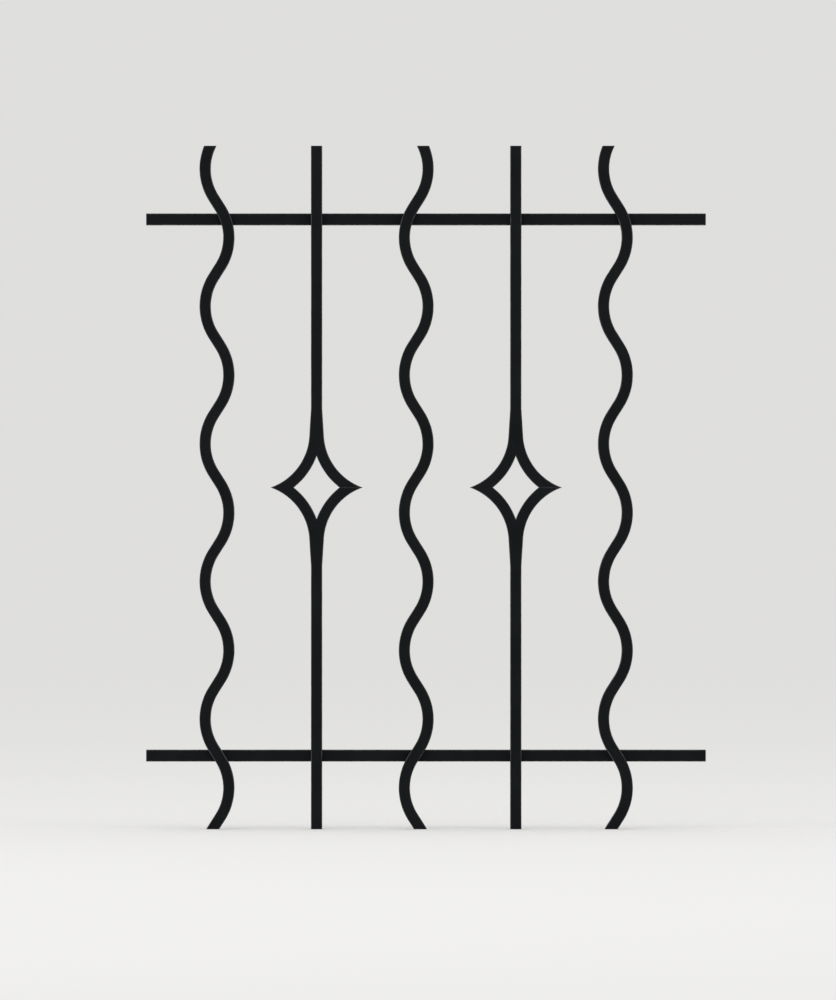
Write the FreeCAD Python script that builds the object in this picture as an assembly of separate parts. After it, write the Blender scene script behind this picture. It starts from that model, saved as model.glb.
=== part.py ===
"""Wrought iron window grille: uprights of square bar lie across the fronts of two level rails.

Three uprights are bent to a wave. Between them stand two straight pickets, each with an open
diamond half way up. Weld beads in the corners behind the uprights hold the grille together.

Millimetres, +Z up, +X along the rails, -Y towards the front. The origin is the middle of the
grille, on the plane where the backs of the uprights lie against the fronts of the rails.
"""
import FreeCAD
import Part

import math
import os

V = FreeCAD.Vector
X_AXIS = V(1, 0, 0)
Y_AXIS = V(0, 1, 0)
Z_AXIS = V(0, 0, 1)
LEFT = -X_AXIS
RIGHT = X_AXIS
UP = Z_AXIS
DOWN = -Z_AXIS

# Square bar that the uprights are made of, which also sets the depth of the rails
BAR = 12.0
CORNER = 0.8              # flat that eases each long corner of a bar, per side

# Uprights, side by side
UPRIGHT_LENGTH = 732.0
UPRIGHT_PITCH = 106.7     # from centre line to centre line
UPRIGHT_SHIFT = -10.5     # of the middle upright, from the middle of the rails

# Rails, one above the other
RAIL_LENGTH = 600.0
RAIL_HEIGHT = 12.6
RAIL_INSET = 78.5         # from the end of an upright to the rail's centre line
RAIL_SPACING = UPRIGHT_LENGTH - 2 * RAIL_INSET

# Wave of the wavy bars, measured on the bar's centre line
WAVE_PITCH = 147.4        # from one crest to the next on the same side
WAVE_SWING = 25.4         # from side to side
WAVE_FLANK = 13.7         # straight run between two bends
WAVE_TOP_CREST = 24.5     # first crest, below the bar's top end

# Diamond of a picket, made of two forks that meet at its side tips
DIAMOND_WIDTH = 99.0      # from tip to tip
ARM_WIDTH = 12.0
ARM_BEND = 62.0           # radius of the arm's hollow side
NECK_REACH = 84.4         # from the middle of the diamond to the end of the neck
NECK_WIDTH = BAR          # at that end, flush with the stem
NECK_TAPER = 3.5          # degrees by which each side of the neck leans

# Weld beads, above and below a rail, behind each upright
WELD_LEG = 3.0
WELD_RUN = 4.0            # full part of the bead, between its pointed ends

TINY = 1e-3               # lengths below this count as none when edges are picked


def eased(solid, edges):
    """The solid with the bar's eased corner along the given edges."""
    return solid.makeChamfer(CORNER, edges)


def straight_bar(corner, size):
    """Straight bar of a size in X, Y and Z, from the corner where all its coordinates are lowest."""
    box = Part.makeBox(size.x, size.y, size.z, corner)
    long_edges = [e for e in box.Edges if abs(e.Length - max(size)) < TINY]
    return eased(box, long_edges)


def arc_about(centre, start, end):
    """Arc shorter than half a turn, from start to end about a centre in the plane of the grille."""
    radius = (start - centre).Length
    towards = (start - centre) + (end - centre)
    middle = centre + towards.normalize() * radius
    return Part.Arc(start, middle, end).toShape()


def line(start, end):
    return Part.LineSegment(start, end).toShape()


# Rails

def rail_middle(level):
    """Height of a rail's centre line: level is UP for the top rail and DOWN for the bottom one."""
    return level.z * RAIL_SPACING / 2


def rail(level):
    corner = V(-RAIL_LENGTH / 2, 0, rail_middle(level) - RAIL_HEIGHT / 2)
    return straight_bar(corner, V(RAIL_LENGTH, BAR, RAIL_HEIGHT))


# Wavy bars: equal bends to alternate sides, joined by straight flanks

HALF_PITCH = WAVE_PITCH / 2
WAVE_LEAN = 2 * math.atan(WAVE_SWING / (HALF_PITCH + WAVE_FLANK))
WAVE_BEND = (HALF_PITCH - WAVE_FLANK * math.cos(WAVE_LEAN)) / (2 * math.sin(WAVE_LEAN))


def crest_height(index):
    return UPRIGHT_LENGTH / 2 - WAVE_TOP_CREST - index * HALF_PITCH


def wave_side(first_side, offset):
    """One side of a wavy bar, from above its top end to below its bottom end.

    The side lies at the given offset in X from the centre line, and crest 0 is on first_side.
    """
    first = -math.ceil(WAVE_TOP_CREST / HALF_PITCH)
    last = math.ceil((UPRIGHT_LENGTH - WAVE_TOP_CREST) / HALF_PITCH)
    edges = []
    previous_end = None
    for index in range(first, last + 1):
        side = first_side.x if index % 2 == 0 else -first_side.x
        centre = V(side * (WAVE_SWING / 2 - WAVE_BEND), 0, crest_height(index))
        across = side * (WAVE_BEND + side * offset) * math.cos(WAVE_LEAN)
        along = (WAVE_BEND + side * offset) * math.sin(WAVE_LEAN)
        start = centre + V(across, 0, along)
        end = centre + V(across, 0, -along)
        if previous_end:
            edges.append(line(previous_end, start))
        edges.append(arc_about(centre, start, end))
        previous_end = end
    return edges


def wave_offset(first_side, height):
    """Distance in X of a wavy bar's centre line from the bar's axis, at a height."""
    from_crest = abs(crest_height(0) - height) % WAVE_PITCH
    from_crest = min(from_crest, WAVE_PITCH - from_crest)
    nearest = min(from_crest, HALF_PITCH - from_crest)
    if nearest < WAVE_BEND * math.sin(WAVE_LEAN):
        inward = WAVE_BEND - math.sqrt(WAVE_BEND ** 2 - nearest ** 2)
    else:
        inward = WAVE_SWING / 2 - (HALF_PITCH / 2 - nearest) * math.tan(WAVE_LEAN)
    side = first_side.x if from_crest <= HALF_PITCH / 2 else -first_side.x
    return side * (WAVE_SWING / 2 - inward)


def wavy_bar(x, first_side):
    """Wavy bar on the axis at x, with its ends cut level."""
    left_edges = wave_side(first_side, -BAR / 2)
    right_edges = wave_side(first_side, BAR / 2)
    top = line(right_edges[0].Vertexes[0].Point, left_edges[0].Vertexes[0].Point)
    bottom = line(left_edges[-1].Vertexes[-1].Point, right_edges[-1].Vertexes[-1].Point)
    outline = Part.Wire([top] + left_edges + [bottom] + right_edges[::-1])
    blank = Part.Face(outline).extrude(Y_AXIS * -BAR)
    room = WAVE_SWING + 2 * BAR
    cut = Part.makeBox(room, BAR, UPRIGHT_LENGTH, V(-room / 2, -BAR, -UPRIGHT_LENGTH / 2))
    bar = blank.common(cut)
    long_edges = [e for e in bar.Edges if e.BoundBox.YLength < TINY and e.BoundBox.ZLength > TINY]
    return eased(bar, long_edges).translated(X_AXIS * x)


# Pickets: a stem above and below a diamond of two forks

def stem(x, level):
    low = NECK_REACH if level == UP else -UPRIGHT_LENGTH / 2
    return straight_bar(V(x - BAR / 2, -BAR, low), V(BAR, BAR, UPRIGHT_LENGTH / 2 - NECK_REACH))


def fork_half():
    """Right half of an upper fork: half the neck, and one arm out to the side tip."""
    lean = math.radians(NECK_TAPER)
    down_neck = V(math.sin(lean), 0, -math.cos(lean))
    outward = V(math.cos(lean), 0, math.sin(lean))
    neck_middle = V(0, 0, NECK_REACH)
    neck_edge = V(NECK_WIDTH / 2, 0, NECK_REACH)
    tip = V(DIAMOND_WIDTH / 2, 0, 0)
    # The hollow side's arc runs out of the neck's side, and ends in the tip
    to_tip = tip - neck_edge
    tip_out = to_tip.dot(outward)
    neck_run = to_tip.dot(down_neck) - math.sqrt(tip_out * (2 * ARM_BEND - tip_out))
    arm_start = neck_edge + down_neck * neck_run
    centre = arm_start + outward * ARM_BEND
    # The opening's arc keeps the arm's width about the same centre
    opening_bend = ARM_BEND + ARM_WIDTH
    corner = V(centre.x - math.sqrt(opening_bend ** 2 - centre.z ** 2), 0, 0)
    crotch = V(0, 0, centre.z - math.sqrt(opening_bend ** 2 - centre.x ** 2))
    outline = Part.Wire([
        line(neck_middle, neck_edge),
        line(neck_edge, arm_start),
        arc_about(centre, arm_start, tip),
        line(tip, corner),
        arc_about(centre, corner, crotch),
        line(crotch, neck_middle),
    ])
    half = Part.Face(outline).extrude(Y_AXIS * -BAR)
    boxes = [(e, e.BoundBox) for e in half.Edges]
    outer_edges = [e for e, b in boxes if b.YLength < TINY and min(b.XLength, b.ZLength) > TINY]
    return eased(half, outer_edges)


def fork(x, level):
    """One half of a diamond: UP for the fork above its tips, DOWN for the one below."""
    right = fork_half()
    whole = right.fuse(right.mirror(V(), X_AXIS)).removeSplitter()
    if level == DOWN:
        whole = whole.mirror(V(), Z_AXIS)
    return whole.translated(X_AXIS * x)


# Weld beads

def weld_bead(x, rail_level, bead_level):
    """Fillet weld between an upright's back and the edge of a rail, pointed at both ends."""
    middle = V(x, 0, rail_middle(rail_level)) + bead_level * (RAIL_HEIGHT / 2)
    half_run = X_AXIS * (WELD_RUN / 2)
    half_length = half_run + X_AXIS * WELD_LEG
    sections = []
    for root in (middle - half_run, middle + half_run):
        on_rail = root + Y_AXIS * WELD_LEG
        on_upright = root + bead_level * WELD_LEG
        sections.append(Part.makePolygon([root, on_rail, on_upright, root]))
    points = [Part.Vertex(middle - half_length), Part.Vertex(middle + half_length)]
    return Part.makeLoft([points[0]] + sections + [points[1]], True, True)


def weld_beads(rail_level, centre_lines):
    """All beads of one rail: centre_lines gives each upright's X at a height."""
    beads = []
    for x_at in centre_lines:
        for bead_level in (DOWN, UP):
            height = rail_middle(rail_level) + bead_level.z * (RAIL_HEIGHT + WELD_LEG) / 2
            beads.append(weld_bead(x_at(height), rail_level, bead_level))
    return Part.makeCompound(beads)


# The whole grille

def upright_x(place):
    """X of an upright's axis, counted from the middle one."""
    return UPRIGHT_SHIFT + place * UPRIGHT_PITCH


WAVY_BARS = {"left": (-2, LEFT), "middle": (0, RIGHT), "right": (2, LEFT)}   # place, first crest
PICKETS = {"left": -1, "right": 1}                                            # place


def grille():
    """Every piece of the grille, by name."""
    pieces = {}
    centre_lines = []
    for name, (place, first_side) in WAVY_BARS.items():
        x = upright_x(place)
        pieces[f"wavy_bar_{name}"] = wavy_bar(x, first_side)
        centre_lines.append(lambda height, x=x, side=first_side: x + wave_offset(side, height))
    for name, place in PICKETS.items():
        x = upright_x(place)
        for level, word in ((UP, "upper"), (DOWN, "lower")):
            pieces[f"{name}_picket_{word}_stem"] = stem(x, level)
            pieces[f"{name}_diamond_{word}_fork"] = fork(x, level)
        centre_lines.append(lambda height, x=x: x)
    for level, word in ((UP, "top"), (DOWN, "bottom")):
        pieces[f"{word}_rail"] = rail(level)
        pieces[f"{word}_rail_weld_beads"] = weld_beads(level, centre_lines)
    return pieces


os.makedirs("parts", exist_ok=True)
for node, shape in grille().items():
    shape.exportStep(f"parts/{node}.step")
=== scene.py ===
"""Wrought iron window grille: forged bars, open diamonds and weld beads under satin black paint."""

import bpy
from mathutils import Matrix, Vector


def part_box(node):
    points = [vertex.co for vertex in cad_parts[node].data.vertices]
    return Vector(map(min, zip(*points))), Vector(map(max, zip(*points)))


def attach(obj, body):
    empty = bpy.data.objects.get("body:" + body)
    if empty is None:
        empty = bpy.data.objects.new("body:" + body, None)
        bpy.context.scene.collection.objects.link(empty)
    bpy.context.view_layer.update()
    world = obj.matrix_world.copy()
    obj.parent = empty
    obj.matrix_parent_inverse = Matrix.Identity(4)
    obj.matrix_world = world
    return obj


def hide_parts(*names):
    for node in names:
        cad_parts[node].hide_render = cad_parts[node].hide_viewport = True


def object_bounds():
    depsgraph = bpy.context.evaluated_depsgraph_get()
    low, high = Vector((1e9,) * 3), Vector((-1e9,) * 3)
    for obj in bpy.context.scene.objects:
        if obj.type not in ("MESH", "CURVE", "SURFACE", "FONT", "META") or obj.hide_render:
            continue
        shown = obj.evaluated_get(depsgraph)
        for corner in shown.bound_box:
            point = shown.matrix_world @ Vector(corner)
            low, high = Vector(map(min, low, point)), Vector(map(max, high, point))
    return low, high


bl_info = {
    "name": "Wrought Iron Window Grille",
    "version": (1, 0, 0),
    "blender": (4, 5, 0),
    "location": "3D View > Sidebar > Grille",
    "description": "Bars, diamonds, welds and paint of a wrought iron window grille, with its studio",
    "category": "Add Mesh",
}

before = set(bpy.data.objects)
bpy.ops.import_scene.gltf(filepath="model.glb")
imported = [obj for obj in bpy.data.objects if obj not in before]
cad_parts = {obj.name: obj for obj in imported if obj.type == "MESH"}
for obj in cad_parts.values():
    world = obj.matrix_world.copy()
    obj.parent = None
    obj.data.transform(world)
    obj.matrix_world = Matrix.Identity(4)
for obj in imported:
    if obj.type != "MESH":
        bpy.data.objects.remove(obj)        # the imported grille, in metres: +X along the rails, -Y to the front, +Z up
CAD_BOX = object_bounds()

import math
from collections import namedtuple

import bmesh
import bpy
from bpy.props import FloatProperty, FloatVectorProperty, IntProperty, PointerProperty
from mathutils import Vector, noise

MM = 0.001
X_AXIS = Vector((1, 0, 0))
Y_AXIS = Vector((0, 1, 0))
Z_AXIS = Vector((0, 0, 1))
BODY = "root"

UP = 1
DOWN = -1
RIGHT = 1
LEFT = -1
LEVELS = ((UP, "upper"), (DOWN, "lower"))
RAILS = ("top_rail", "bottom_rail")
PICKETS = ("left", "right")
# Side of each wavy bar's first crest below its top end
WAVY_BARS = {"wavy_bar_left": LEFT, "wavy_bar_middle": RIGHT, "wavy_bar_right": LEFT}


def node_size(node):
    low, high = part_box(node)
    return high - low


def node_middle(node):
    low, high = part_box(node)
    return (low + high) / 2


BAR = node_size("left_picket_upper_stem").x


# Settings

class GrilleBarSettings(bpy.types.PropertyGroup):
    """The bars, and how they were worked."""

    corner_radius: FloatProperty(
        name="Corner radius", description="Rounding of a bar's long corners",
        default=1.0 * MM, min=0.1 * MM, unit="LENGTH", precision=5)
    end_break: FloatProperty(
        name="End break", description="Rounding of the filed edge around a sawn end",
        default=0.35 * MM, min=0.0, unit="LENGTH", precision=5)
    ring_spacing: FloatProperty(
        name="Ring spacing", description="Distance between the mesh rings along a bar",
        default=3 * MM, min=0.5 * MM, unit="LENGTH", precision=5)
    unevenness: FloatProperty(
        name="Unevenness", description="How far the hammer and the rolls left a face off its plane",
        default=0.10 * MM, min=0.0, unit="LENGTH", precision=5)


class GrilleWaveSettings(bpy.types.PropertyGroup):
    """The wave of the wavy bars, on the bar's centre line."""

    pitch: FloatProperty(
        name="Pitch", description="From one crest to the next on the same side",
        default=147.4 * MM, unit="LENGTH", precision=4)
    swing: FloatProperty(
        name="Swing", description="From side to side",
        default=node_size("wavy_bar_left").x - BAR, unit="LENGTH", precision=4)
    flank: FloatProperty(
        name="Flank", description="Straight run between two bends",
        default=13.7 * MM, unit="LENGTH", precision=4)
    top_crest: FloatProperty(
        name="Top crest", description="First crest, below the bar's top end",
        default=24.5 * MM, unit="LENGTH", precision=4)


class GrilleDiamondSettings(bpy.types.PropertyGroup):
    """One fork, which is half of a picket's diamond."""

    width: FloatProperty(
        name="Width", description="From tip to tip",
        default=node_size("left_diamond_upper_fork").x, unit="LENGTH", precision=4)
    reach: FloatProperty(
        name="Reach", description="From the middle of the diamond to the end of the neck",
        default=node_size("left_diamond_upper_fork").z, unit="LENGTH", precision=4)
    arm_width: FloatProperty(
        name="Arm width", description="Width of a fork's arm",
        default=12.0 * MM, unit="LENGTH", precision=4)
    arm_bend: FloatProperty(
        name="Arm bend", description="Radius of the arm's hollow side",
        default=62.0 * MM, unit="LENGTH", precision=4)
    neck_width: FloatProperty(
        name="Neck width", description="Width at the end of the neck, flush with the stem",
        default=BAR, unit="LENGTH", precision=4)
    neck_taper: FloatProperty(
        name="Neck taper", description="Lean of each side of the neck",
        default=math.radians(3.5), subtype="ANGLE")
    seam: FloatProperty(
        name="Seam", description="Width and depth, in each fork, of the open joint at the right tip",
        default=0.5 * MM, min=0.05 * MM, unit="LENGTH", precision=5)


class GrilleWeldSettings(bpy.types.PropertyGroup):
    """The weld beads behind the uprights, above and below each rail."""

    leg: FloatProperty(
        name="Leg", description="How far a bead reaches up the upright and over the rail",
        default=node_size("top_rail_weld_beads").y, unit="LENGTH", precision=4)
    length: FloatProperty(
        name="Length", description="Length of a bead, across the upright",
        default=10.0 * MM, unit="LENGTH", precision=4)
    ripples: IntProperty(
        name="Ripples", description="Ripples along a bead", default=7, min=1)


class GrillePaintSettings(bpy.types.PropertyGroup):
    """Satin black paint."""

    black: FloatVectorProperty(
        name="Black", description="Colour of the paint",
        default=(0.0020, 0.0029, 0.0042), size=3, min=0.0, max=1.0, subtype="COLOR")
    bloom: FloatVectorProperty(
        name="Bloom", description="Colour where the paint has dulled a little",
        default=(0.0066, 0.0082, 0.0100), size=3, min=0.0, max=1.0, subtype="COLOR")
    # Edge: lighter colour on the corners, partly a worn thin coat and partly a painted highlight along the edges
    edge: FloatVectorProperty(
        name="Edge", description="Colour on the corners, where the coat is thin",
        default=(0.0980, 0.1000, 0.1050), size=3, min=0.0, max=1.0, subtype="COLOR")
    bare: FloatVectorProperty(
        name="Bare iron", description="Colour in an open seam",
        default=(0.0500, 0.0510, 0.0540), size=3, min=0.0, max=1.0, subtype="COLOR")
    specular: FloatProperty(
        name="Specular level", description="Strength of the paint's reflection",
        default=0.11, min=0.0, max=1.0, subtype="FACTOR")


class GrilleStageSettings(bpy.types.PropertyGroup):
    """Floor, light and camera."""

    floor: FloatVectorProperty(
        name="Floor", description="Colour of the floor",
        default=(0.84, 0.835, 0.82), size=3, min=0.0, max=1.0, subtype="COLOR")
    ambient: FloatProperty(
        name="Ambient", description="Level of the light from all round", default=0.88, min=0.0)
    side_power: FloatProperty(
        name="Side lamps", description="Power of each side lamp",
        default=26.0, min=0.0, unit="POWER")
    key_power: FloatProperty(
        name="Key lamp", description="Power of the lamp above the camera",
        default=22.0, min=0.0, unit="POWER")
    camera_distance: FloatProperty(
        name="Camera distance", description="From the grille to the camera",
        default=12.0, min=1.0, unit="LENGTH")


# Meshes

BROAD_WORK = 38.0        # hammer and roll marks to the metre, broad ones
FINE_WORK = 125.0        # and fine ones
BROAD_SHARE = 0.7        # of the unevenness, that the broad ones make up

PAINT = 0                # material slots of a forged piece
SAWN_END = 1
OPEN_SEAM = 2

CORNER_LAYER = "corner"  # mesh attribute that holds each point's share of a corner or a weld crest, where the paint is lighter: partly worn coat, partly painted highlight
SHARP_EDGE = math.radians(40)
SAME_PLACE = 0.01 * MM   # points nearer than this are one
QUARTER_TURN = math.pi / 2


def direction(angle):
    """Unit vector in a plane, at an angle."""
    return Vector((math.cos(angle), math.sin(angle)))


def quarter_angles(steps):
    """Angles of the mesh points round a quarter turn."""
    return [QUARTER_TURN * step / steps for step in range(steps + 1)]


def worked(point):
    """How far a worked surface lies off its true form at a point, in metres."""
    broad = noise.noise(point * BROAD_WORK)
    fine = noise.noise(point * FINE_WORK)
    amount = bpy.context.scene.grille_bar.unevenness
    return amount * (BROAD_SHARE * broad + (1 - BROAD_SHARE) * fine)


class MeshParts:
    """Points and faces of a piece while it is being made, with each point's share of a corner."""

    def __init__(self):
        self.points = []
        self.corners = []
        self.faces = []
        self.finishes = []

    def add_point(self, point, corner=0.0):
        self.points.append(point)
        self.corners.append(corner)
        return len(self.points) - 1

    def add_face(self, indices, finish=PAINT):
        self.faces.append(indices)
        self.finishes.append(finish)

    def add_grid(self, rows, finish=PAINT):
        """Quads between rows of point indices. Rows run to the right and up, seen from outside."""
        for lower, upper in zip(rows, rows[1:]):
            for i in range(len(lower) - 1):
                self.add_face((lower[i], lower[i + 1], upper[i + 1], upper[i]), finish)

    def add_tube(self, rings, end_finish=PAINT):
        """Closed tube of rings, which run counter-clockwise as the tube runs towards the viewer."""
        self.add_grid([ring + ring[:1] for ring in rings])
        self.add_face(rings[0][::-1], end_finish)
        self.add_face(rings[-1], end_finish)


def make_piece(name, parts, materials, node):
    """Makes a finished piece of its parts, in place of the plain solid of a node."""
    mesh = bpy.data.meshes.new(name)
    mesh.from_pydata(parts.points, [], parts.faces)
    mesh.attributes.new(CORNER_LAYER, "FLOAT", "POINT").data.foreach_set("value", parts.corners)
    for material in materials:
        mesh.materials.append(material)
    mesh.polygons.foreach_set("material_index", parts.finishes)
    merge_points(mesh)
    mesh.shade_smooth()
    mesh.set_sharp_from_angle(angle=SHARP_EDGE)
    piece = bpy.data.objects.new(name, mesh)
    bpy.context.scene.collection.objects.link(piece)
    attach(piece, BODY)
    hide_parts(node)


def merge_points(mesh):
    """Joins the points that lie in one place."""
    work = bmesh.new()
    work.from_mesh(mesh)
    bmesh.ops.remove_doubles(work, verts=work.verts, dist=SAME_PLACE)
    work.to_mesh(mesh)
    work.free()


# Bars

CORNER_STEPS = 4         # mesh steps round a corner
FACE_STEPS = 4           # and across a flat face
END_STEPS = 3            # and round the filed edge of an end
FACE_RIM = 0.2 * MM      # narrow first step of a flat face, which keeps its shading flat
SWELL = 0.3              # thickening of a bend's inner side, of its squeeze

# Ring of a bar: slant turns it off square to the bar, curl is the bend there, inset draws it in,
# and turn is how far its surface has turned from the bar's sides to the end face
Ring = namedtuple("Ring", "centre across along slant curl inset turn", defaults=(0.0, 0.0, 0.0, 0.0))


def face_shares(length, steps):
    """Shares of a flat face's length at which its mesh points lie, with a narrow step at each end."""
    rim = FACE_RIM / length
    return [rim + (1 - 2 * rim) * step / steps for step in range(steps + 1)]


def bar_section(width):
    """Points round a bar of a width, counter-clockwise, as ((across, deep), share of a corner).

    The share is 1 half way round a corner and 0 on the flat faces.
    """
    radius = bpy.context.scene.grille_bar.corner_radius
    corners = []
    for quarter, (right, back) in enumerate(((1, 1), (-1, 1), (-1, -1), (1, -1))):
        middle = Vector((right * (width / 2 - radius), back * (BAR / 2 - radius)))
        corner = []
        for turn in quarter_angles(CORNER_STEPS):
            point = middle + direction(quarter * QUARTER_TURN + turn) * radius
            corner.append((point, math.sin(2 * turn)))
        corners.append(corner)
    section = []
    for corner, following in zip(corners, corners[1:] + corners[:1]):
        start, end = corner[-1][0], following[0][0]
        shares = face_shares((end - start).length, FACE_STEPS)
        section += corner + [(start.lerp(end, share), 0.0) for share in shares]
    return section


def swept_bar(rings, width=BAR):
    """Solid bar through rings."""
    section = bar_section(width)
    parts = MeshParts()
    loops = []
    for ring in rings:
        scale = 1 - 2 * ring.inset / BAR
        loop = []
        for (u, v), corner in section:
            swell = 1 - SWELL * ring.curl * u
            flat = (ring.across + ring.along * ring.slant) * u
            point = ring.centre + flat * scale + Y_AXIS * (v * scale * swell)
            outward = (ring.across * u + Y_AXIS * v).normalized()
            share = max(corner * math.cos(ring.turn), math.sin(2 * ring.turn))
            loop.append(parts.add_point(point + outward * worked(point), share))
        loops.append(loop)
    parts.add_tube(loops, SAWN_END)
    return parts


def ring_places(low, high, low_free=True, high_free=True):
    """(place, inset, turn) of the rings along a bar from low to high. A free end has a filed edge."""
    bar = bpy.context.scene.grille_bar
    start = low + bar.end_break * low_free
    end = high - bar.end_break * high_free
    steps = round((end - start) / bar.ring_spacing)
    places = [(start + (end - start) * step / steps, 0.0, 0.0) for step in range(steps + 1)]
    filed = []
    for turn in quarter_angles(END_STEPS)[1:]:
        filed.append((bar.end_break * math.sin(turn), bar.end_break * (1 - math.cos(turn)), turn))
    filed.append((bar.end_break, bar.end_break + FACE_RIM, QUARTER_TURN))
    if low_free:
        places = [(start - out, inset, turn) for out, inset, turn in reversed(filed)] + places
    if high_free:
        places += [(end + out, inset, turn) for out, inset, turn in filed]
    return places


class GRILLE_OT_rails(bpy.types.Operator):
    """Add the top and bottom rails"""

    bl_idname = "grille.rails"
    bl_label = "Add Rails"

    def execute(self, context):
        materials = [rail_paint(), sawn_end_paint()]
        for node in RAILS:
            low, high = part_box(node)
            rings = []
            for x, inset, turn in ring_places(low.x, high.x):
                centre = Vector((x, *node_middle(node).yz))
                rings.append(Ring(centre, -Z_AXIS, X_AXIS, inset=inset, turn=turn))
            make_piece(f"forged_{node}", swept_bar(rings, node_size(node).z), materials, node)
        return {"FINISHED"}


# Wavy bars

END_BLEND = 18 * MM      # over which the rings turn level towards a cut end
BEND_BLEND = 4 * MM      # over which a bend's swelling runs out

# Place of a wavy bar's centre line beside the bar's axis, its lean and its bend
Wave = namedtuple("Wave", "offset lean curl")


def wave_at(height, first_side):
    """Wave of a wavy bar at a height: equal bends to alternate sides, joined by straight flanks."""
    wave = bpy.context.scene.grille_wave
    half_pitch = wave.pitch / 2
    lean = 2 * math.atan(wave.swing / (half_pitch + wave.flank))
    bend = (half_pitch - wave.flank * math.cos(lean)) / (2 * math.sin(lean))
    bend_end = bend * math.sin(lean)
    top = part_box("wavy_bar_left")[1].z
    below_crest = (top - wave.top_crest - height + half_pitch) % wave.pitch - half_pitch
    nearest = min(abs(below_crest), half_pitch - abs(below_crest))
    if nearest < bend_end:
        rise = math.sqrt(bend ** 2 - nearest ** 2)
        inward = bend - rise
        slope = nearest / rise
    else:
        slope = math.tan(lean)
        inward = wave.swing / 2 - (half_pitch / 2 - nearest) * slope
    side = first_side if abs(below_crest) <= half_pitch / 2 else -first_side
    fade = min(1.0, max(0.0, (bend_end - nearest) / BEND_BLEND))
    lean_here = math.atan(math.copysign(slope, first_side * below_crest))
    return Wave(side * (wave.swing / 2 - inward), lean_here, side * fade / bend)


class GRILLE_OT_wavy_bars(bpy.types.Operator):
    """Add the wavy uprights, with their ends cut level"""

    bl_idname = "grille.wavy_bars"
    bl_label = "Add Wavy Bars"

    def execute(self, context):
        materials = [upright_paint(), sawn_end_paint()]
        for node, first_side in WAVY_BARS.items():
            low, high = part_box(node)
            middle = node_middle(node)
            rings = []
            for z, inset, turn in ring_places(low.z, high.z):
                offset, lean, curl = wave_at(z, first_side)
                across = Vector((math.cos(lean), 0, -math.sin(lean)))
                along = Vector((math.sin(lean), 0, math.cos(lean)))
                levelled = max(0.0, 1 - min(z - low.z, high.z - z) / END_BLEND)
                centre = Vector((middle.x + offset, middle.y, z))
                rings.append(Ring(centre, across, along, math.tan(lean) * levelled, curl, inset, turn))
            make_piece(f"forged_{node}", swept_bar(rings), materials, node)
        return {"FINISHED"}


# Pickets

class GRILLE_OT_stems(bpy.types.Operator):
    """Add the straight stems above and below the diamonds"""

    bl_idname = "grille.stems"
    bl_label = "Add Picket Stems"

    def execute(self, context):
        materials = [upright_paint(), sawn_end_paint()]
        for picket in PICKETS:
            for level, word in LEVELS:
                node = f"{picket}_picket_{word}_stem"
                low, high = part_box(node)
                middle = node_middle(node)
                rings = []
                places = ring_places(low.z, high.z, low_free=level == DOWN, high_free=level == UP)
                for z, inset, turn in places:
                    centre = Vector((middle.x, middle.y, z))
                    rings.append(Ring(centre, X_AXIS, Z_AXIS, inset=inset, turn=turn))
                make_piece(f"forged_{node}", swept_bar(rings), materials, node)
        return {"FINISHED"}


class ForkPlan:
    """Outline of the right half of an upper fork, as (x, z) from the middle of the diamond.

    An arm's two sides are arcs about one centre. The hollow side runs out of the neck's tapered side.
    """

    def __init__(self):
        diamond = bpy.context.scene.grille_diamond
        taper = diamond.neck_taper
        outward = direction(taper)
        self.reach = diamond.reach
        self.neck_edge = Vector((diamond.neck_width / 2, diamond.reach))
        self.down_neck = Vector((math.sin(taper), -math.cos(taper)))
        self.inward = -outward
        self.hollow = diamond.arm_bend        # radius of the hollow side
        self.opening = diamond.arm_bend + diamond.arm_width        # and of the opening's side
        to_tip = Vector((diamond.width / 2, 0)) - self.neck_edge
        tip_out = to_tip.dot(outward)
        self.neck_run = to_tip.dot(self.down_neck) - math.sqrt(tip_out * (2 * self.hollow - tip_out))
        self.centre = self.neck_edge + self.down_neck * self.neck_run + outward * self.hollow
        self.start_angle = math.pi + taper
        self.crotch = self.centre.y - math.sqrt(self.opening ** 2 - self.centre.x ** 2)
        self.crotch_angle = self.level_angle(self.opening, self.crotch)

    def on_arm(self, radius, angle):
        """Point of a circle about the arm's centre."""
        return self.centre + direction(angle) * radius

    def level_angle(self, radius, height):
        """Angle at which a circle about the arm's centre comes down to a height."""
        return math.pi + math.asin((self.centre.y - height) / radius)

    def neck_side(self, share):
        """Point on the neck's side and the way in, from its end (0) to the level of the crotch (1)."""
        arc = self.hollow * (self.crotch_angle - self.start_angle)
        run = share * (self.neck_run + arc)
        if run <= self.neck_run:
            return self.neck_edge + self.down_neck * run, self.inward
        angle = self.start_angle + (run - self.neck_run) / self.hollow
        return self.on_arm(self.hollow, angle), direction(angle)


NECK_STEPS = 34          # mesh steps down the neck
ARM_STEPS = 40           # and along an arm
ARM_FACE_STEPS = 6       # across an arm's flat
WALL_STEPS = 4           # through the bar, on an arm's sides
FRONT = -1               # way in which a face looks, along Y
BACK = 1

# Mesh point of a fork: its place in the plan, and how far it is off the fork's side and its opening
ForkPoint = namedtuple("ForkPoint", "plan off_side off_opening")


def rounding(off, radius):
    """How far a rounded edge draws a face in, at a distance off the edge."""
    return radius - math.sqrt(radius ** 2 - max(0.0, radius - off) ** 2)


def corner_share(off, radius):
    """Share of a corner at a distance off the edge: 1 half way round it, 0 on the faces."""
    turn = math.acos(max(0.0, 1 - off / radius))
    return math.sin(2 * turn)


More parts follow.
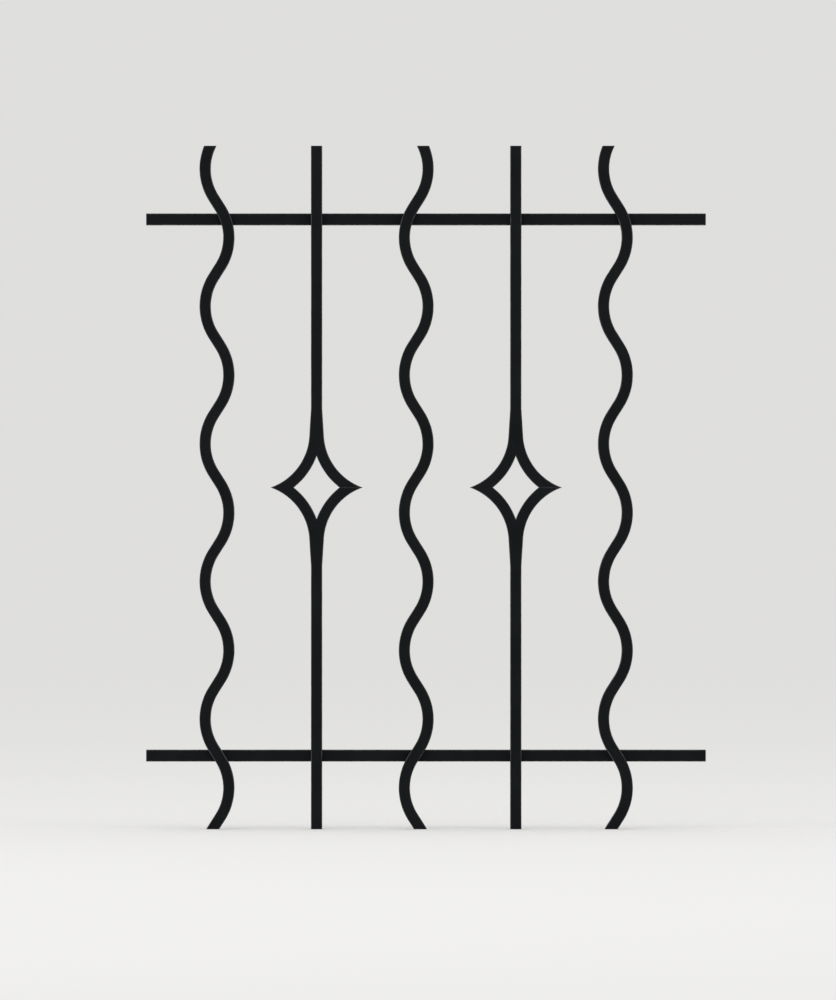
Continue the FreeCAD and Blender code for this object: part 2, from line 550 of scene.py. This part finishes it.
def fork_columns(plan, radius):
    """Distances of the mesh columns from the opening's arc, across an arm to its hollow side."""
    width = plan.opening - plan.hollow
    flat = width - 2 * radius
    edge = [radius * (1 - math.cos(turn)) for turn in quarter_angles(CORNER_STEPS)]
    face = [radius + flat * share for share in face_shares(flat, ARM_FACE_STEPS)]
    return edge + face + [width - place for place in reversed(edge)]


def neck_row(plan, columns, radius, share):
    """Row of fork points over half the neck, from its end (0) to the level of the crotch (1)."""
    width = columns[-1]
    side, inward = plan.neck_side(share)
    flat_end = side + inward * radius
    middle = Vector((0, plan.reach + (plan.crotch - plan.reach) * share))
    crotch = Vector((0, plan.crotch))
    row = []
    for place in columns:
        off_side = width - place
        if off_side <= radius:
            point = side + inward * off_side
        else:
            point = middle.lerp(flat_end, place / (width - radius))
        row.append(ForkPoint(point, off_side, (point - crotch).length))
    return row


def arm_row(plan, columns, end_height, share):
    """Row of fork points over an arm, from the crotch (0) to an end at a height above the tip (1)."""
    width = columns[-1]
    row = []
    for place in columns:
        circle = plan.opening - place
        end = plan.level_angle(circle, end_height)
        angle = plan.crotch_angle + (end - plan.crotch_angle) * share
        row.append(ForkPoint(plan.on_arm(circle, angle), width - place, place))
    return row


def fork_rows(plan):
    """Rows of fork points over half a fork, from the neck's end to the tip. The last step is the seam."""
    radius = bpy.context.scene.grille_bar.corner_radius
    seam = bpy.context.scene.grille_diamond.seam
    columns = fork_columns(plan, radius)
    neck = [neck_row(plan, columns, radius, step / NECK_STEPS) for step in range(NECK_STEPS)]
    arm = [arm_row(plan, columns, seam, step / ARM_STEPS) for step in range(ARM_STEPS + 1)]
    return neck + arm + [arm_row(plan, columns, 0.0, 1.0)]


def add_fork_face(parts, rows, axis, side, level, facing):
    """Adds the points of half a fork's front or back, and gives their indices in rows."""
    radius = bpy.context.scene.grille_bar.corner_radius
    seam = bpy.context.scene.grille_diamond.seam if side == RIGHT else 0.0
    face_y = -BAR if facing == FRONT else 0.0
    lines = []
    for row in rows:
        seam_depth = seam if row is rows[-1] else 0.0
        line = []
        for plan, off_side, off_opening in row:
            depth = rounding(off_side, radius) + rounding(off_opening, radius) + seam_depth
            point = Vector((axis + side * plan.x, face_y - facing * depth, level * plan.y))
            corner = max(corner_share(off_side, radius), corner_share(off_opening, radius))
            line.append(parts.add_point(point + Y_AXIS * (facing * worked(point)), corner))
        lines.append(line)
    return lines


def add_wall(parts, front, back):
    """Adds points through the bar, and gives rows of indices, each from a front point to a back one."""
    rows = []
    for first, last in zip(front, back):
        start, end = parts.points[first], parts.points[last]
        shares = face_shares((end - start).length, WALL_STEPS)
        rows.append([first] + [parts.add_point(start.lerp(end, share)) for share in shares] + [last])
    return rows


def column(rows, place):
    """Points at a place in each row."""
    return [row[place] for row in rows]


def flipped(rows):
    """Rows that each run the other way."""
    return [row[::-1] for row in rows]


def add_fork_half(parts, plan, axis, side, level):
    """Adds half a fork: side is RIGHT or LEFT, and level is UP or DOWN."""
    rows = fork_rows(plan)
    front = add_fork_face(parts, rows, axis, side, level, FRONT)
    back = add_fork_face(parts, rows, axis, side, level, BACK)
    hollow_side = add_wall(parts, column(front, -1), column(back, -1))
    opening_side = add_wall(parts, column(front[NECK_STEPS:], 0), column(back[NECK_STEPS:], 0))
    neck_end = add_wall(parts, front[0], back[0])
    tip_end = add_wall(parts, front[-1], back[-1])
    tip_finish = OPEN_SEAM if side == RIGHT else PAINT
    grids = (
        (flipped(front[:-1]), PAINT),
        (flipped(front[-2:]), tip_finish),
        (back[:-1], PAINT),
        (back[-2:], tip_finish),
        (flipped(hollow_side), PAINT),
        (opening_side, PAINT),
        (neck_end[::-1], SAWN_END),
        (tip_end, SAWN_END),
    )
    # A half that is mirrored once takes its rows backwards, so that its faces still look outwards
    for grid, finish in grids:
        parts.add_grid(grid[::side * level], finish)


class GRILLE_OT_diamonds(bpy.types.Operator):
    """Add the forks that make the diamonds of the pickets"""

    bl_idname = "grille.diamonds"
    bl_label = "Add Diamonds"

    def execute(self, context):
        materials = [fork_paint(), sawn_end_paint(), open_seam()]
        plan = ForkPlan()
        for picket in PICKETS:
            for level, word in LEVELS:
                node = f"{picket}_diamond_{word}_fork"
                parts = MeshParts()
                for side in (RIGHT, LEFT):
                    add_fork_half(parts, plan, node_middle(node).x, side, level)
                make_piece(f"forged_{node}", parts, materials, node)
        return {"FINISHED"}


# Weld beads

BEAD_STEPS = 72          # mesh steps along a bead
BEAD_ROUND_STEPS = 10    # and round it
BEAD_THROAT = 0.90       # bead's height over its root, of the leg
BEAD_SPREAD = 0.12       # by which a hand-laid bead may fall short of the leg
BEAD_POINT = 0.15        # size of a bead's two ends, of the leg
BEAD_FULLNESS = 3        # power of the curve that narrows a bead to its ends: fuller with more
RIPPLE_DEPTH = 0.15      # of the leg
RIPPLE_BOW = 0.7         # how far the middle of a ripple runs ahead, in ripples
CRATER_PLACE = 0.66      # of the small hollow where the arc was broken, from the middle to the end
CRATER_LENGTH = 0.2
CRATER_DEPTH = 0.10      # of the leg
CREST_WEAR_AND_HIGHLIGHT = 0.5        # share of the corners' lighter colour on the ripples' crests: a painted highlight, partly worn paint


def bead_rings(root, level):
    """Rings of (point, share of a corner) along one bead, in the corner between an upright and a rail."""
    weld = bpy.context.scene.grille_weld
    hand = noise.noise(root * BROAD_WORK)
    leg = weld.leg * (1 - BEAD_SPREAD * abs(hand))
    rings = []
    for step in range(BEAD_STEPS + 1):
        share = 2 * step / BEAD_STEPS - 1
        start = root + X_AXIS * (share * weld.length / 2)
        swell = max(BEAD_POINT, math.sqrt(1 - abs(share) ** BEAD_FULLNESS))
        crater = CRATER_DEPTH * math.exp(-((share - CRATER_PLACE) / CRATER_LENGTH) ** 2)
        ring = [(start, 0.0)]
        for angle in quarter_angles(BEAD_ROUND_STEPS):
            crown = math.sin(2 * angle)
            phase = step / BEAD_STEPS * weld.ripples + RIPPLE_BOW * crown + hand
            crest = abs(math.sin(phase * math.pi))
            hollow = 1 - BEAD_THROAT + RIPPLE_DEPTH * (1 - crest) + crater
            size = leg * swell * (1 - hollow * crown)
            point = start + Vector((0, math.cos(angle), level * math.sin(angle))) * size
            # The crests take part of the corners' lighter colour, a painted highlight partly from worn paint
            ring.append((point, CREST_WEAR_AND_HIGHLIGHT * crown * crest))
        rings.append(ring)
    return rings


def centre_lines():
    """For each upright, a function that gives its X at a height."""
    lines = []
    for node, first_side in WAVY_BARS.items():
        axis = node_middle(node).x
        lines.append(lambda z, axis=axis, side=first_side: axis + wave_at(z, side).offset)
    for picket in PICKETS:
        axis = node_middle(f"{picket}_picket_upper_stem").x
        lines.append(lambda z, axis=axis: axis)
    return lines


class GRILLE_OT_weld_beads(bpy.types.Operator):
    """Add the rippled weld beads in the corners behind the uprights"""

    bl_idname = "grille.weld_beads"
    bl_label = "Add Weld Beads"

    def execute(self, context):
        leg = context.scene.grille_weld.leg
        for rail in RAILS:
            low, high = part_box(rail)
            parts = MeshParts()
            for x_at in centre_lines():
                for level, edge in ((DOWN, low.z), (UP, high.z)):
                    root = Vector((x_at(edge + level * leg / 2), low.y, edge))
                    rings = bead_rings(root, level)
                    loops = [[parts.add_point(*point) for point in ring] for ring in rings]
                    parts.add_tube(loops[::level])
            node = f"{rail}_weld_beads"
            make_piece(f"rippled_{node}", parts, [weld_paint()], node)
        return {"FINISHED"}


# Paint

# Noise in a finish: grains to the metre, steps of finer noise in them, how strong those are, and the
# range that the noise is stretched to where it isn't a relief
Grain = namedtuple("Grain", "scale detail roughness low high", defaults=(0.5, 0.0, 1.0))
NOISE_RANGE = (0.35, 0.65)                      # in which nearly all of the shader's noise lies

CLOUDS = Grain(24.0, 4.0, 0.6)                  # broad clouds of bloom
STREAKS = Grain(420.0, 3.0, low=0.35)           # brush marks in them
SPECKS = Grain(1300.0, 2.0, low=0.15)           # and fine specks
EDGE_WEAR_AND_HIGHLIGHT = Grain(140.0, 3.0, low=0.25, high=0.9)    # thin coat on the corners, and the painted highlight along them: where they are lighter
GRIT = Grain(1700.0, 2.0)                       # dust that dried in the paint
PEEL = Grain(600.0, 3.0)                        # uneven skin of the paint
SPATTER = Grain(1600.0, 4.0, 0.7)               # pits in the skin of a weld
CRUMBS = Grain(500.0, 3.0, high=0.6)            # paint left in an open seam

# Roughness of each surface
BAR_DULLNESS = Grain(70.0, 5.0, 0.65, 0.42, 0.58)
FORK_DULLNESS = BAR_DULLNESS._replace(low=0.40, high=0.56)
END_DULLNESS = BAR_DULLNESS._replace(low=0.46, high=0.62)
WELD_DULLNESS = BAR_DULLNESS._replace(low=0.30, high=0.46)
SEAM_DULLNESS = Grain(900.0, 2.0, low=0.55, high=0.75)
EDGE_POLISH = 0.14       # by which the roughness is less on the lightened, worn corners

# How the brush drew the paint out along a bar
STROKE = 0.12            # grains along the brush marks, of those across them
STROKE_ALONG_X = (STROKE, 1.0, 1.0)
STROKE_ALONG_Z = (1.0, 1.0, STROKE)
NO_STROKE = (1.0, 1.0, 1.0)

# Reliefs of the paint and of the iron under it
Relief = namedtuple("Relief", "strength distance")
GRIT_RELIEF = Relief(0.5, 0.12 * MM)
PEEL_RELIEF = Relief(0.55, 0.25 * MM)
HAMMER_RELIEF = Relief(0.12, 0.5 * MM)
SAW_RELIEF = Relief(0.7, 0.3 * MM)
SPATTER_RELIEF = Relief(0.35, 0.2 * MM)
HAMMER_FLATS = 85.0      # to the metre
SAW_LINES = 380.0        # scale of the saw's lines
SAW_WANDER = 1.2         # by which they leave a straight line
SAW_DETAIL = 2.0         # steps of finer wandering


def put(tree, socket, value):
    """Sets a shader socket to a number or colour, or links it from another socket."""
    if isinstance(value, bpy.types.NodeSocket):
        tree.links.new(value, socket)
    elif socket.type == "RGBA":
        socket.default_value = (*value[:3], 1.0)
    else:
        socket.default_value = value


def add_node(tree, kind, **inputs):
    """Shader node with some of its inputs set, by name."""
    node = tree.nodes.new(kind)
    for name, value in inputs.items():
        put(tree, node.inputs[name.replace("_", " ")], value)
    return node


def noise_of(tree, place, grain):
    """The shader's own noise, with a grain."""
    return add_node(tree, "ShaderNodeTexNoise", Vector=place, Scale=grain.scale, Detail=grain.detail,
                    Roughness=grain.roughness).outputs["Fac"]


def ranged_noise(tree, place, grain):
    """Noise with a grain, stretched to the grain's range."""
    low, high = NOISE_RANGE
    return add_node(tree, "ShaderNodeMapRange", Value=noise_of(tree, place, grain), From_Min=low,
                    From_Max=high, To_Min=grain.low, To_Max=grain.high).outputs["Result"]


def combined(tree, operation, first, second):
    """Two values combined by a sum of the shader's."""
    node = tree.nodes.new("ShaderNodeMath")
    node.operation = operation
    put(tree, node.inputs[0], first)
    put(tree, node.inputs[1], second)
    return node.outputs[0]


def mixed(tree, share, first, second):
    """Colour between two, by a share."""
    node = tree.nodes.new("ShaderNodeMix")
    node.data_type = "RGBA"
    put(tree, node.inputs[0], share)
    ends = [socket for socket in node.inputs if socket.type == "RGBA"]
    put(tree, ends[0], first)
    put(tree, ends[1], second)
    return next(socket for socket in node.outputs if socket.type == "RGBA")


def bumped(tree, height, relief, normal=None):
    """Normal of a surface whose height makes a relief, over the normal of another."""
    node = add_node(tree, "ShaderNodeBump", Height=height, Strength=relief.strength,
                    Distance=relief.distance)
    if normal:
        put(tree, node.inputs["Normal"], normal)
    return node.outputs["Normal"]


def hammer_marks(tree, place, normal):
    """Shallow hammer flats under the paint."""
    flats = add_node(tree, "ShaderNodeTexVoronoi", Vector=place, Scale=HAMMER_FLATS)
    return bumped(tree, flats.outputs["Distance"], HAMMER_RELIEF, normal)


def saw_marks(tree, place, normal):
    """Fine slanting saw lines under the paint."""
    lines = add_node(tree, "ShaderNodeTexWave", Vector=place, Scale=SAW_LINES, Distortion=SAW_WANDER,
                     Detail=SAW_DETAIL)
    lines.bands_direction = "DIAGONAL"
    return bumped(tree, lines.outputs["Fac"], SAW_RELIEF, normal)


def weld_pits(tree, place, normal):
    """Fine pits in the skin of a weld under the paint."""
    return bumped(tree, noise_of(tree, place, SPATTER), SPATTER_RELIEF, normal)


def satin_paint(tree, shader, place, dullness, marks, stroke):
    """Satin black paint over the marks of the work, drawn out by the stroke of the brush."""
    paint = bpy.context.scene.grille_paint
    brushed = add_node(tree, "ShaderNodeMapping", Vector=place, Scale=stroke).outputs["Vector"]
    corner = tree.nodes.new("ShaderNodeAttribute")
    corner.attribute_name = CORNER_LAYER

    clouds = ranged_noise(tree, place, CLOUDS)
    streaks = ranged_noise(tree, brushed, STREAKS)
    specks = ranged_noise(tree, place, SPECKS)
    drawn_out = combined(tree, "MULTIPLY", clouds, streaks)
    body = mixed(tree, combined(tree, "MULTIPLY", drawn_out, specks), paint.black, paint.bloom)
    # Corners and weld crests are lightened towards the edge colour: partly thin-coat wear, partly a painted highlight
    wear_and_highlight_noise = ranged_noise(tree, place, EDGE_WEAR_AND_HIGHLIGHT)
    edge_wear_and_highlight = combined(tree, "MULTIPLY", corner.outputs["Fac"], wear_and_highlight_noise)
    put(tree, shader.inputs["Base Color"], mixed(tree, edge_wear_and_highlight, body, paint.edge))

    patches = ranged_noise(tree, brushed, dullness)
    rubbed = combined(tree, "MULTIPLY", edge_wear_and_highlight, EDGE_POLISH)
    put(tree, shader.inputs["Roughness"], combined(tree, "SUBTRACT", patches, rubbed))
    shader.inputs["Specular IOR Level"].default_value = paint.specular

    grit = bumped(tree, noise_of(tree, place, GRIT), GRIT_RELIEF)
    peel = bumped(tree, noise_of(tree, brushed, PEEL), PEEL_RELIEF, grit)
    put(tree, shader.inputs["Normal"], marks(tree, place, peel))


def bare_iron(tree, shader, place):
    """Bare, dull iron in a seam where the paint has cracked, with some of the paint left in it."""
    paint = bpy.context.scene.grille_paint
    crumbs = ranged_noise(tree, place, CRUMBS)
    put(tree, shader.inputs["Base Color"], mixed(tree, crumbs, paint.bare, paint.black))
    put(tree, shader.inputs["Roughness"], ranged_noise(tree, place, SEAM_DULLNESS))
    shader.inputs["Specular IOR Level"].default_value = paint.specular


def finished_material(name, finish, *details):
    """Material of a name. The finish, with its details, makes it when it is first asked for."""
    if name in bpy.data.materials:
        return bpy.data.materials[name]
    material = bpy.data.materials.new(name)
    material.use_nodes = True
    tree = material.node_tree
    place = tree.nodes.new("ShaderNodeTexCoord").outputs["Object"]
    finish(tree, tree.nodes["Principled BSDF"], place, *details)
    return material


def rail_paint():
    return finished_material(
        "satin_black_rail", satin_paint, BAR_DULLNESS, hammer_marks, STROKE_ALONG_X)


def upright_paint():
    return finished_material(
        "satin_black_upright", satin_paint, BAR_DULLNESS, hammer_marks, STROKE_ALONG_Z)


def fork_paint():
    return finished_material("satin_black_fork", satin_paint, FORK_DULLNESS, hammer_marks, NO_STROKE)


def sawn_end_paint():
    return finished_material("satin_black_sawn_end", satin_paint, END_DULLNESS, saw_marks, NO_STROKE)


def weld_paint():
    return finished_material("satin_black_weld", satin_paint, WELD_DULLNESS, weld_pits, NO_STROKE)


def open_seam():
    return finished_material("bare_seam", bare_iron)


# Stage

IMAGE_WIDTH = 836        # pixels of the picture that the camera is set for
IMAGE_HEIGHT = 1000
RAIL_PIXELS = 560        # length of a rail in it
MIDDLE_PIXEL = Vector((426.0, 487.5))      # middle of the grille in it
SENSOR = 36.0            # millimetres, on the picture's long side
FLOOR_SIZE = 80.0
KEY_PLACE = Vector((-1.4, -4.2, 3.4))
KEY_SIZE = (3.0, 2.0)
SIDE_PLACE = Vector((4.4, -1.7, 2.4))      # of the right lamp, which the left one mirrors
SIDE_SIZE = (1.4, 2.2)
WHITE = (1.0, 1.0, 1.0)


def add_floor(colour):
    """Wide matt floor under the grille."""
    half = FLOOR_SIZE / 2
    mesh = bpy.data.meshes.new("floor")
    corners = [(x * half, y * half, CAD_BOX[0].z) for x, y in ((-1, -1), (1, -1), (1, 1), (-1, 1))]
    mesh.from_pydata(corners, [], [(0, 1, 2, 3)])
    material = bpy.data.materials.new("pale_floor")
    material.use_nodes = True
    tree = material.node_tree
    tree.nodes.remove(tree.nodes["Principled BSDF"])
    matt = add_node(tree, "ShaderNodeBsdfDiffuse", Color=colour)
    put(tree, tree.nodes["Material Output"].inputs["Surface"], matt.outputs["BSDF"])
    mesh.materials.append(material)
    floor = bpy.data.objects.new("floor", mesh)
    bpy.context.scene.collection.objects.link(floor)


def add_world(floor_colour, ambient):
    """Even light from all round. Where it is seen, it has the tone of the far floor."""
    world = bpy.data.worlds.new("studio")
    bpy.context.scene.world = world
    world.use_nodes = True
    tree = world.node_tree
    light = tree.nodes["Background"]
    put(tree, light.inputs["Color"], WHITE)
    put(tree, light.inputs["Strength"], ambient)
    seen = add_node(tree, "ShaderNodeBackground", Color=floor_colour, Strength=ambient)
    path = tree.nodes.new("ShaderNodeLightPath").outputs
    glossy_or_clear = combined(tree, "MAXIMUM", path["Is Glossy Ray"], path["Is Transmission Ray"])
    looks = combined(tree, "MAXIMUM", path["Is Camera Ray"], glossy_or_clear)
    mix = tree.nodes.new("ShaderNodeMixShader")
    for socket, value in zip(mix.inputs, (looks, light.outputs[0], seen.outputs[0])):
        put(tree, socket, value)
    put(tree, tree.nodes["World Output"].inputs["Surface"], mix.outputs[0])


def add_lamp(name, place, size, power):
    """Soft rectangular lamp that faces the middle of the grille."""
    lamp = bpy.data.lights.new(name, "AREA")
    lamp.shape = "RECTANGLE"
    lamp.size, lamp.size_y = size
    lamp.energy = power
    holder = bpy.data.objects.new(name, lamp)
    bpy.context.scene.collection.objects.link(holder)
    holder.location = place
    holder.rotation_euler = (-place).to_track_quat("-Z", "Y").to_euler()
    holder.visible_camera = False


def add_camera(distance):
    """Long-lens camera, square to the grille, that puts the grille's middle on its pixel."""
    scale = node_size("top_rail").x / RAIL_PIXELS
    off = (Vector((IMAGE_WIDTH / 2, IMAGE_HEIGHT / 2)) - MIDDLE_PIXEL) * scale
    middle = (CAD_BOX[0] + CAD_BOX[1]) / 2
    camera = bpy.data.cameras.new("camera")
    camera.sensor_width = SENSOR
    camera.lens = SENSOR * distance / (IMAGE_HEIGHT * scale)
    holder = bpy.data.objects.new("camera", camera)
    bpy.context.scene.collection.objects.link(holder)
    holder.location = (middle.x + off.x, -BAR / 2 - distance, middle.z - off.y)
    holder.rotation_euler = (QUARTER_TURN, 0, 0)
    bpy.context.scene.camera = holder


class GRILLE_OT_stage(bpy.types.Operator):
    """Set the floor, the light and the camera"""

    bl_idname = "grille.stage"
    bl_label = "Set Stage"

    def execute(self, context):
        stage = context.scene.grille_stage
        add_floor(stage.floor)
        add_world(stage.floor, stage.ambient)
        add_lamp("key_lamp", KEY_PLACE, KEY_SIZE, stage.key_power)
        for name, side in (("right_lamp", RIGHT), ("left_lamp", LEFT)):
            place = Vector((side * SIDE_PLACE.x, *SIDE_PLACE.yz))
            add_lamp(name, place, SIDE_SIZE, stage.side_power)
        add_camera(stage.camera_distance)
        context.scene.view_settings.view_transform = "Standard"
        return {"FINISHED"}


# Sidebar and registration

SETTINGS = {
    "grille_bar": GrilleBarSettings,
    "grille_wave": GrilleWaveSettings,
    "grille_diamond": GrilleDiamondSettings,
    "grille_weld": GrilleWeldSettings,
    "grille_paint": GrillePaintSettings,
    "grille_stage": GrilleStageSettings,
}
OPERATORS = (
    GRILLE_OT_rails,
    GRILLE_OT_wavy_bars,
    GRILLE_OT_stems,
    GRILLE_OT_diamonds,
    GRILLE_OT_weld_beads,
    GRILLE_OT_stage,
)


class GRILLE_PT_sidebar(bpy.types.Panel):
    """Settings of the grille, and the steps that make it"""

    bl_label = "Window Grille"
    bl_idname = "GRILLE_PT_sidebar"
    bl_space_type = "VIEW_3D"
    bl_region_type = "UI"
    bl_category = "Grille"

    def draw(self, context):
        for name, group in SETTINGS.items():
            box = self.layout.box()
            for setting in group.__annotations__:
                box.prop(getattr(context.scene, name), setting)
        for operator in OPERATORS:
            self.layout.operator(operator.bl_idname)


def register():
    for name, group in SETTINGS.items():
        bpy.utils.register_class(group)
        setattr(bpy.types.Scene, name, PointerProperty(type=group))
    for operator in OPERATORS:
        bpy.utils.register_class(operator)
    bpy.utils.register_class(GRILLE_PT_sidebar)


def unregister():
    bpy.utils.unregister_class(GRILLE_PT_sidebar)
    for operator in reversed(OPERATORS):
        bpy.utils.unregister_class(operator)
    for name, group in reversed(SETTINGS.items()):
        delattr(bpy.types.Scene, name)
        bpy.utils.unregister_class(group)


def main():
    register()
    bpy.ops.grille.rails()
    bpy.ops.grille.wavy_bars()
    bpy.ops.grille.stems()
    bpy.ops.grille.diamonds()
    bpy.ops.grille.weld_beads()
    bpy.ops.grille.stage()


if __name__ == "__main__":
    main()
